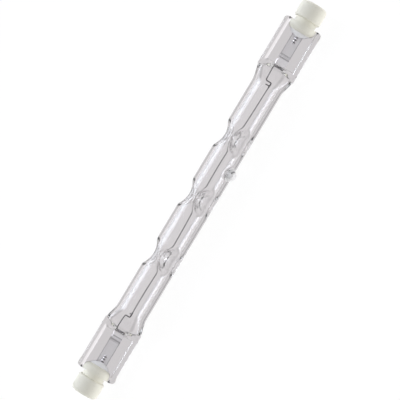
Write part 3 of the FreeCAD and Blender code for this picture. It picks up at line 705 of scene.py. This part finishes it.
def quartz_finish(shade, pitch, worked_end, stub_middle, stub_reach):
    """
    Clear drawn quartz: faint lines along the tube, a slow waviness and a trace of tint.

    It has ripples where it was worked for the dimples, and is clouded where the stub was sealed off.
    """
    finish, tree, shader, add = new_finish("quartz")
    shader.inputs["Transmission Weight"].default_value = 1
    shader.inputs["IOR"].default_value = 1.458
    place, along, _ = own_place(add)
    drawn = noise(add, scale=900, detail=2, stretch=(0.05, 1, 1))
    slow = noise(add, scale=160, detail=1, stretch=(0.35, 1, 1))
    lines = raised(add, combined(add, "ADD", drawn, slow), strength=0.12, distance=0.06 * MM)
    worked_from, worked_full = pitch * 0.2, pitch * 0.1
    off_station = combined(add, "PINGPONG", along, pitch / 2)
    before_end = combined(add, "LESS_THAN", combined(add, "ABSOLUTE", along), worked_end)
    worked = combined(add, "MULTIPLY", ranged(add, off_station, worked_from, worked_full), before_end)
    ripple = combined(add, "MULTIPLY", noise(add, scale=1300, detail=1), worked)
    normal = raised(add, ripple, strength=0.9, distance=0.14 * MM, below=lines)
    rough = rough_between(add, worked, least=0.012, most=0.14)
    dress(shader, shade_between(add, slow, darker(shade, 0.985), shade), rough, normal)

    clouded_from, clouded_full = stub_reach, stub_reach * 0.7
    off_stub = measured(add, "DISTANCE", place, stub_middle)
    near_stub = ranged(add, off_stub, clouded_from, clouded_full)
    clear_speck, clouded_speck = 0.3, 0.37
    speck = ranged(add, noise(add, scale=1400, detail=1), clear_speck, clouded_speck)
    most_clouded = 0.97
    share = combined(add, "MULTIPLY", combined(add, "MULTIPLY", near_stub, speck), most_clouded)
    cloud = add("ShaderNodeBsdfTranslucent", {"Color": (0.9, 0.89, 0.9, 1)})
    skin = add("ShaderNodeBsdfDiffuse", {"Color": (0.97, 0.965, 0.97, 1)})
    gloss = {"Color": (0.95, 0.95, 0.95, 1), "Roughness": 0.22, "Normal": normal}
    melted = add("ShaderNodeBsdfGlossy", gloss)
    skin_share, gloss_share = 0.75, 0.2
    clouded = mixed(add, gloss_share, mixed(add, skin_share, cloud, skin), melted)
    show(tree, mixed(add, share, shader, clouded))
    return finish


def wire_finish(name, shade, roughness, stretch, weld_shade=None, weld_start=None, spots=None):
    """Drawn wire: fine lines along it, patches that heat has dulled, a lighter welded end and dark welds."""
    finish, _, shader, add = new_finish(name)
    shader.inputs["Metallic"].default_value = 1
    lines = noise(add, scale=5000, detail=4, stretch=stretch)
    tone = shade_between(add, noise(add, scale=700, detail=2), darker(shade, 0.7), shade)
    if weld_start:
        away = combined(add, "ABSOLUTE", own_place(add)[1])
        tone = shade_between(add, ranged(add, away, weld_start - 0.2 * MM, weld_start), tone, weld_shade)
    if spots:
        start, end, gap = spots
        away = combined(add, "ABSOLUTE", own_place(add)[1])
        off_spot = combined(add, "PINGPONG", combined(add, "SUBTRACT", away, start), gap / 2)
        spot_edge, spot_full = gap * 0.26, gap * 0.2
        within = ranged(add, away, end + 0.1 * MM, end)
        spot = combined(add, "MULTIPLY", ranged(add, off_spot, spot_edge, spot_full), within)
        tone = shade_between(add, within, tone, darker(weld_shade, 0.75))
        tone = shade_between(add, spot, tone, darker(shade, 0.3))
    rough = rough_between(add, lines, least=roughness * 0.75, most=roughness * 1.25)
    dress(shader, tone, rough, raised(add, lines, strength=0.3, distance=0.01 * MM))
    return finish


def foil_finish(foil, shade, across):
    """Rolled foil: fine lines along it, painted shade along its long edges and at its two dark creases, and a
    painted reflection that makes it brighter before them.
    """
    finish, tree, shader, add = new_finish("foil")
    place, along, _ = own_place(add)
    aside = combined(add, "ABSOLUTE", measured(add, "DOT_PRODUCT", place, across))
    away = combined(add, "ABSOLUTE", combined(add, "SUBTRACT", along, foil.crease_shift))
    lines = noise(add, scale=3000, detail=4, stretch=(0.04, 1, 1))
    patches = noise(add, scale=450, detail=3)
    streaks = combined(add, "MULTIPLY", lines, patches)
    tone = shade_between(add, streaks, darker(shade, 0.8), darker(shade, 0.94))
    # Painted shade: the foil is darker along its long edges.
    shaded_edge_from, shaded_edge_full = foil.width / 2 * 0.82, foil.width / 2 * 0.9
    tone = shade_between(add, ranged(add, aside, shaded_edge_from, shaded_edge_full), tone, darker(shade, 0.55))
    # Painted reflection: the foil is brighter before its creases, where it reflects more light.
    painted_reflection_before = ranged(add, away, foil.crease + 0.2 * MM, foil.crease)
    tone = shade_between(add, painted_reflection_before, tone, darker(shade, 0.97))
    off_middle = combined(add, "ABSOLUTE", combined(add, "SUBTRACT", away, foil.crease))
    half_gap = foil.crease_gap / 2
    flat_metal, creased_metal = 0.8, 0.1
    metal = ranged(add, off_middle, half_gap + 0.1 * MM, half_gap, flat_metal, creased_metal)
    tree.links.new(metal, shader.inputs["Metallic"])
    off_fold = combined(add, "ABSOLUTE", combined(add, "SUBTRACT", off_middle, half_gap))
    # Painted shade: a dark line at each crease, as shade in the fold.
    fold_shade_edge, fold_shade_full = 0.18 * MM, 0.06 * MM
    tone = shade_between(add, ranged(add, off_fold, fold_shade_edge, fold_shade_full), tone, darker(shade, 0.5))
    rough = rough_between(add, patches, least=0.24, most=0.36)
    dress(shader, tone, rough, raised(add, lines, strength=0.4, distance=0.02 * MM))
    return finish


def ceramic_finish(shade):
    """Fired steatite: a fine grain, sparse pores painted darker as shade in them, and a slow change of tone.
    """
    finish, _, shader, add = new_finish("ceramic")
    grain = noise(add, scale=2600, detail=5)
    pores = add("ShaderNodeTexVoronoi", {"Vector": own_place(add)[0], "Scale": 1500})
    pore_middle, pore_edge = 0.05, 0.22
    smooth = ranged(add, pores.outputs["Distance"], pore_middle, pore_edge)
    tone = shade_between(add, noise(add, scale=260, detail=3), darker(shade, 0.93), shade)
    # Painted shade: each pore is darker, as shade in the pit.
    tone = shade_between(add, smooth, darker(shade, 0.82), tone)
    grained = raised(add, grain, strength=0.35, distance=0.03 * MM)
    normal = raised(add, smooth, strength=0.4, distance=0.03 * MM, below=grained)
    dress(shader, tone, rough_between(add, grain, least=0.55, most=0.75), normal)
    return finish


def cement_finish(shade):
    """Set cement: a pale paste with a soft lumpy skin."""
    finish, _, shader, add = new_finish("cement")
    lumps = noise(add, scale=1100, detail=4)
    tone = shade_between(add, noise(add, scale=300, detail=2), darker(shade, 0.92), shade)
    rough = rough_between(add, lumps, least=0.6, most=0.85)
    dress(shader, tone, rough, raised(add, lumps, strength=0.5, distance=0.08 * MM))
    return finish


def contact_finish(shade):
    """Plated button: turned rings on its face, and light wear."""
    finish, _, shader, add = new_finish("contact")
    shader.inputs["Metallic"].default_value = 1
    turned = {"Vector": own_place(add)[0], "Scale": 900, "Distortion": 1.5, "Detail": 2}
    rings = add("ShaderNodeTexWave", turned, wave_type="RINGS", rings_direction="X").outputs["Fac"]
    wear = noise(add, scale=900, detail=4)
    tone = shade_between(add, wear, darker(shade, 0.75), shade)
    rough = rough_between(add, wear, least=0.22, most=0.45)
    dress(shader, tone, rough, raised(add, rings, strength=0.25, distance=0.01 * MM))
    return finish


def finish_nodes(names, finish):
    """Gives nodes of the frame a finish, and leaves their meshes as they are."""
    for name in names:
        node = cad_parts[name]
        for slot in node.material_slots:
            slot.material = finish
        if not node.material_slots:
            node.data.materials.append(finish)


# Operators

class BULB_OT_quartz(bpy.types.Operator):
    """Make the quartz envelope as one solid of glass round its hollow"""

    bl_idname = "bulb.quartz"
    bl_label = "Quartz envelope"

    def execute(self, context):
        settings = context.scene
        turns = gathered_turns(settings.bulb_mesh, math.pi / 2 + settings.bulb_stub.turn)
        turn = lean(settings.bulb_tube, settings.bulb_seal)
        outside = leaned(quartz_outside(settings, turns), turn)
        inside = leaned(quartz_inside(settings, turns), turn)
        rows, around = outside.shape[:2]
        outer_part = (outside, ring_faces(rows, around), tube_caps(rows, around))
        inner_part = (inside, ring_faces(len(inside), around, outwards=False), [])
        stub = settings.bulb_stub
        out = settings.bulb_tube.diameter / 2 + stub.height / 2
        across, up = -out * math.sin(stub.turn), out * math.cos(stub.turn)
        stub_middle = leaned(np.array([stub.place, across, up]), turn)
        stub_reach = stub.root_radius * 1.3
        dimples = settings.bulb_dimples
        worked_end = dimples.pitch * dimples.stations / 2
        shade = settings.bulb_shades.quartz
        finish = quartz_finish(shade, dimples.pitch, worked_end, tuple(stub_middle), stub_reach)
        piece = new_piece("quartz", [outer_part, inner_part], finish)
        seam = 0.002 * MM
        merge_doubles(piece, seam)
        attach(piece, "root")
        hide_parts("quartz_envelope")
        return {"FINISHED"}


class BULB_OT_coil(bpy.types.Operator):
    """Wind the tungsten coil between its two leads"""

    bl_idname = "bulb.coil"
    bl_label = "Coil"

    def execute(self, context):
        settings = context.scene
        end = box_reach("filament") * MM
        wire = leaned(coil_wire(settings, end), lean(settings.bulb_tube, settings.bulb_seal))
        rows, around = wire.shape[:2]
        shade = settings.bulb_shades.tungsten
        finish = wire_finish("tungsten", shade, roughness=0.45, stretch=(1, 1, 1))
        piece = new_piece("coil", [(wire, ring_faces(rows, around), tube_caps(rows, around))], finish)
        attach(piece, "root")
        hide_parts("filament")
        return {"FINISHED"}


class BULB_OT_leads(bpy.types.Operator):
    """Finish the leads and the seal foils"""

    bl_idname = "bulb.leads"
    bl_label = "Leads and foils"

    def execute(self, context):
        settings = context.scene
        shades = settings.bulb_shades
        foil = settings.bulb_foil
        drawn = {"roughness": 0.4, "stretch": (0.1, 1, 1), "weld_shade": shades.foil}
        inner = wire_finish("inner_lead_wire", shades.inner_lead, weld_start=foil.weld, **drawn)
        spots = (foil.spots_start, foil.spots_end, foil.spot_pitch)
        outer = wire_finish("outer_lead_wire", shades.outer_lead, spots=spots, **drawn)
        across = tuple(leaned(np.array([0.0, 1.0, 0.0]), lean(settings.bulb_tube, settings.bulb_seal)))
        strip = foil_finish(foil, shades.foil, across)
        for end in ("left", "right"):
            finish_nodes([f"inner_lead_{end}"], inner)
            finish_nodes([f"outer_lead_{end}"], outer)
            finish_nodes([f"seal_foil_{end}"], strip)
        return {"FINISHED"}


class BULB_OT_bases(bpy.types.Operator):
    """Finish the ceramic bases, their cement and their contacts"""

    bl_idname = "bulb.bases"
    bl_label = "Ceramic bases"

    def execute(self, context):
        shades = context.scene.bulb_shades
        finishes = {
            "ceramic_base": ceramic_finish(shades.ceramic),
            "cement": cement_finish(shades.cement),
            "contact": contact_finish(shades.contact),
        }
        for part, finish in finishes.items():
            finish_nodes([f"{part}_{end}" for end in ("left", "right")], finish)
        return {"FINISHED"}


def tone_ramp(add, value, stops):
    """Tones along a value, each stop given by its place in millimetres and its tone."""
    low, high = FLOOR_SPAN
    ramp = add("ShaderNodeValToRGB", {"Fac": ranged(add, value, low * MM, high * MM)})
    points = ramp.color_ramp.elements
    halfway = 0.5
    while len(points) < len(stops):
        points.new(halfway)
    for point, (place, tone) in zip(points, stops):
        point.position = (place - low) / (high - low)
        point.color = (*darker(FLOOR_TINT, tone), 1)
    return ramp.outputs["Color"]


def floor_finish(stage):
    """
    White floor that keeps a soft shadow.

    The camera and metal see it mostly as a plain white. Seen through quartz it has the tones of the bulb's
    own shadow: grey under the bulb, a bright line to each side where the tube gathers light, and a dark rim.
    """
    finish, tree, shader, add = new_finish("floor")
    tree.nodes.remove(shader)
    rays = add("ShaderNodeLightPath").outputs
    straight, through = rays["Is Camera Ray"], rays["Is Transmission Ray"]
    _, along, across = own_place(add)
    away = combined(add, "ABSOLUTE", along)
    sealed = ranged(add, away, stage.seal_tones_start, stage.seal_tones_end)
    # Painted shadow and gathered light under the bulb, used only for rays seen through quartz.
    under_tube, under_seal = (tone_ramp(add, across, tones) for tones in (FLOOR_UNDER_TUBE, FLOOR_UNDER_SEAL))
    faded = stage.tones_end * 1.1
    beyond = ranged(add, away, stage.tones_end, faded)
    beneath = shade_between(add, beyond, shade_between(add, sealed, under_tube, under_seal), WHITE)
    tone = shade_between(add, through, WHITE, beneath)
    seen = combined(add, "MAXIMUM", combined(add, "MAXIMUM", straight, rays["Is Glossy Ray"]), through)
    aside = combined(add, "ABSOLUTE", across)
    weakest = stage.near_floor * 0.25
    thrown = ranged(add, aside, weakest, stage.near_floor, stage.near_floor_light, stage.floor_light)
    white = ranged(add, straight, 0, 1, 1, stage.backdrop)
    strength = add("ShaderNodeMix", {0: seen, 2: thrown, 3: white}).outputs[0]
    plain = add("ShaderNodeEmission", {"Color": tone, "Strength": strength})
    lit = add("ShaderNodeBsdfDiffuse", {"Color": FLOOR_SHADE})
    share = combined(add, "MAXIMUM", through, stage.shadow_share)
    show(tree, mixed(add, share, lit, plain))
    return finish


def studio_world(stage, sides, towards_camera):
    """Two soft cool lights beside the bulb, a weaker one behind the camera and least from elsewhere."""
    world = bpy.data.worlds.new("studio")
    bpy.context.scene.world = world
    world.use_nodes = True
    tree = world.node_tree
    add = node_adder(tree)
    direction = add("ShaderNodeTexCoord").outputs["Generated"]
    left, right = (measured(add, "DOT_PRODUCT", direction, side) for side in sides)
    beside = combined(add, "MAXIMUM", left, right)
    ahead = measured(add, "DOT_PRODUCT", direction, towards_camera)
    light = ranged(add, beside, *BESIDE_COSINES, stage.light_between, stage.light_beside)
    light = combined(add, "MULTIPLY", light, ranged(add, ahead, *AHEAD_COSINES, 1, stage.light_ahead))
    rays = add("ShaderNodeLightPath").outputs
    least = combined(add, "MULTIPLY", rays["Is Transmission Ray"], stage.light_through)
    light = combined(add, "MAXIMUM", light, least)
    strength = add("ShaderNodeMix", {0: rays["Is Camera Ray"], 2: light, 3: 1.0}).outputs[0]
    tint = shade_between(add, ranged(add, beside, *COOL_COSINES), WHITE, COOL)
    background = tree.nodes["Background"]
    tree.links.new(strength, background.inputs["Strength"])
    tree.links.new(tint, background.inputs["Color"])


class BULB_OT_stage(bpy.types.Operator):
    """Lay the floor, light it softly and aim the camera square to the flat seals"""

    bl_idname = "bulb.stage"
    bl_label = "Stage"

    def execute(self, context):
        scene = context.scene
        stage = scene.bulb_stage
        turn = lean(scene.bulb_tube, scene.bulb_seal)
        right = leaned(np.array([math.cos(stage.roll), -math.sin(stage.roll), 0.0]), turn)
        up = leaned(np.array([math.sin(stage.roll), math.cos(stage.roll), 0.0]), turn)
        towards = leaned(np.array([0.0, 0.0, 1.0]), turn)

        camera = bpy.data.objects.new("camera", bpy.data.cameras.new("camera"))
        scene.collection.objects.link(camera)
        camera.data.lens = camera.data.sensor_width * stage.camera_distance / stage.view_width
        place = towards * stage.camera_distance - right * stage.shift_right - up * stage.shift_up
        axes = Matrix(np.stack([right, up, towards], axis=1).tolist()).to_4x4()
        camera.matrix_world = Matrix.Translation(place.tolist()) @ axes
        nearest, furthest = 0.01, 20
        camera.data.clip_start = nearest
        camera.data.clip_end = furthest
        scene.camera = camera

        under = float(CAD_BOX[0][2])
        half = stage.floor_half
        corners = [(-half, -half, under), (half, -half, under), (half, half, under), (-half, half, under)]
        mesh = bpy.data.meshes.new("floor")
        mesh.from_pydata(corners, [], [(0, 1, 2, 3)])
        mesh.materials.append(floor_finish(stage))
        floor = bpy.data.objects.new("floor", mesh)
        scene.collection.objects.link(floor)

        aside, ahead = math.cos(stage.light_lean), math.sin(stage.light_lean)
        sides = np.array([[0, -aside, ahead], [0, aside, ahead]])
        studio_world(stage, leaned(sides, turn).tolist(), tuple(towards))

        scene.view_settings.view_transform = "Standard"
        return {"FINISHED"}


class BULB_PT_sidebar(bpy.types.Panel):
    """The bulb's steps and sizes"""

    bl_label = "Linear halogen bulb"
    bl_idname = "BULB_PT_sidebar"
    bl_space_type = "VIEW_3D"
    bl_region_type = "UI"
    bl_category = "Bulb"

    def draw(self, context):
        for step in STEPS:
            self.layout.operator(step.bl_idname)
        for name in SETTINGS:
            group = getattr(context.scene, name)
            box = self.layout.box()
            box.label(text=name.replace("bulb_", "").capitalize())
            for field in group.bl_rna.properties:
                if field.identifier not in ("rna_type", "name"):
                    box.prop(group, field.identifier)


STEPS = (BULB_OT_quartz, BULB_OT_coil, BULB_OT_leads, BULB_OT_bases, BULB_OT_stage)


def register():
    for group in SETTINGS.values():
        bpy.utils.register_class(group)
    for name, group in SETTINGS.items():
        setattr(bpy.types.Scene, name, bpy.props.PointerProperty(type=group))
    for step in STEPS:
        bpy.utils.register_class(step)
    bpy.utils.register_class(BULB_PT_sidebar)


def unregister():
    bpy.utils.unregister_class(BULB_PT_sidebar)
    for step in reversed(STEPS):
        bpy.utils.unregister_class(step)
    for name in SETTINGS:
        delattr(bpy.types.Scene, name)
    for group in reversed(SETTINGS.values()):
        bpy.utils.unregister_class(group)


def main():
    register()
    bpy.ops.bulb.quartz()
    bpy.ops.bulb.coil()
    bpy.ops.bulb.leads()
    bpy.ops.bulb.bases()
    bpy.ops.bulb.stage()


if __name__ == "__main__":
    main()
